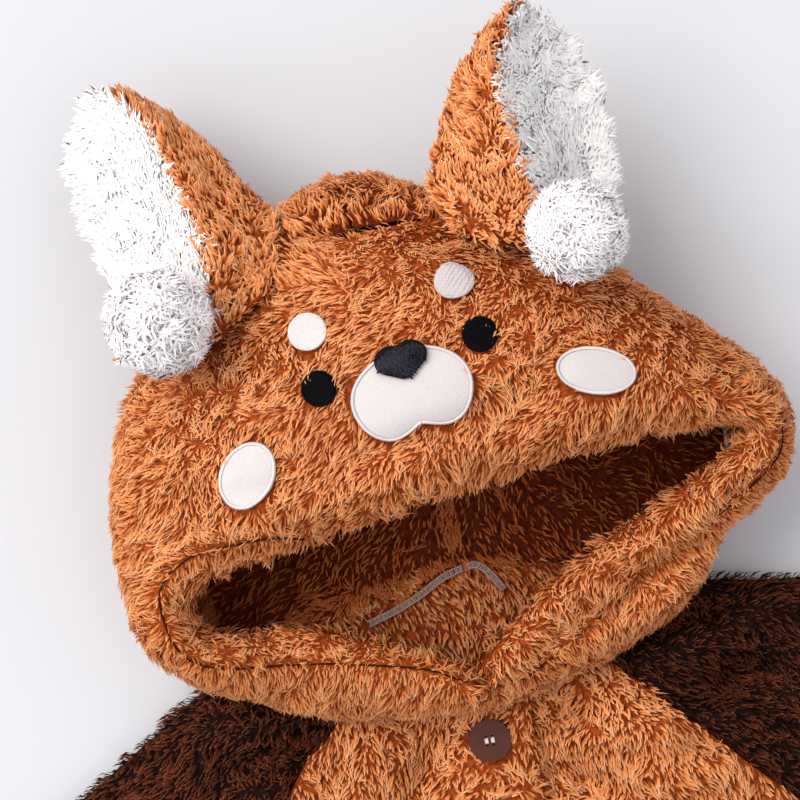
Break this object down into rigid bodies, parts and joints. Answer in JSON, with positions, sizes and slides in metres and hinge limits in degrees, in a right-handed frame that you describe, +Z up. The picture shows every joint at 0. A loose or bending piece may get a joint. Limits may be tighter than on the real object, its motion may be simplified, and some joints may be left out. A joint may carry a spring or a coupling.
{
  "type": "hooded pyjama set",
  "caption": "Plush pyjama set laid flat: a buttoned raglan top with an eared animal-face hood, and elastic-waist trousers below it.",
  "frame": {"origin": "middle of the floor area that the laid-out set covers, at the height of the surface it lies on", "axes": "+Y along the body from the trouser hems towards the top of the hood, +X towards the wearer's left, +Z up from the surface, so the front of the garments faces +Z"},
  "size_m": [1.386, 2.0206, 0.151],
  "materials": {
    "plush_tan": "long matte plush pile, orange-brown",
    "plush_brown": "long matte plush pile, dark brown",
    "plush_white": "fluffy white pile",
    "velour_white": "short white velour with a stitched rim",
    "embroidery_white": "white satin stitch",
    "embroidery_black": "black satin stitch",
    "button_plastic": "polished dark brown"
  },
  "bodies": {
    "root": {"front_right": "plush_tan", "front_left": "plush_tan", "back": "plush_tan", "sleeve_right": "plush_brown", "sleeve_left": "plush_brown", "hood_front": "plush_tan", "hood_back_right": "plush_tan", "hood_back_left": "plush_tan", "ear_outer_right": "plush_tan", "ear_outer_left": "plush_tan", "ear_inner_right": "plush_white", "ear_inner_left": "plush_white", "pompom_right": "plush_white", "pompom_left": "plush_white", "eye_right": "embroidery_black", "eye_left": "embroidery_black", "nose": "embroidery_black", "brow_right": "embroidery_white", "brow_left": "embroidery_white", "cheek_right": "velour_white", "cheek_left": "velour_white", "muzzle": "velour_white", "button_1": "button_plastic", "button_2": "button_plastic", "button_3": "button_plastic", "button_4": "button_plastic", "button_5": "button_plastic", "trouser_front_right": "plush_tan", "trouser_front_left": "plush_tan", "trouser_back_right": "plush_tan", "trouser_back_left": "plush_tan", "waistband": "plush_tan"}
  },
  "joints": []
}
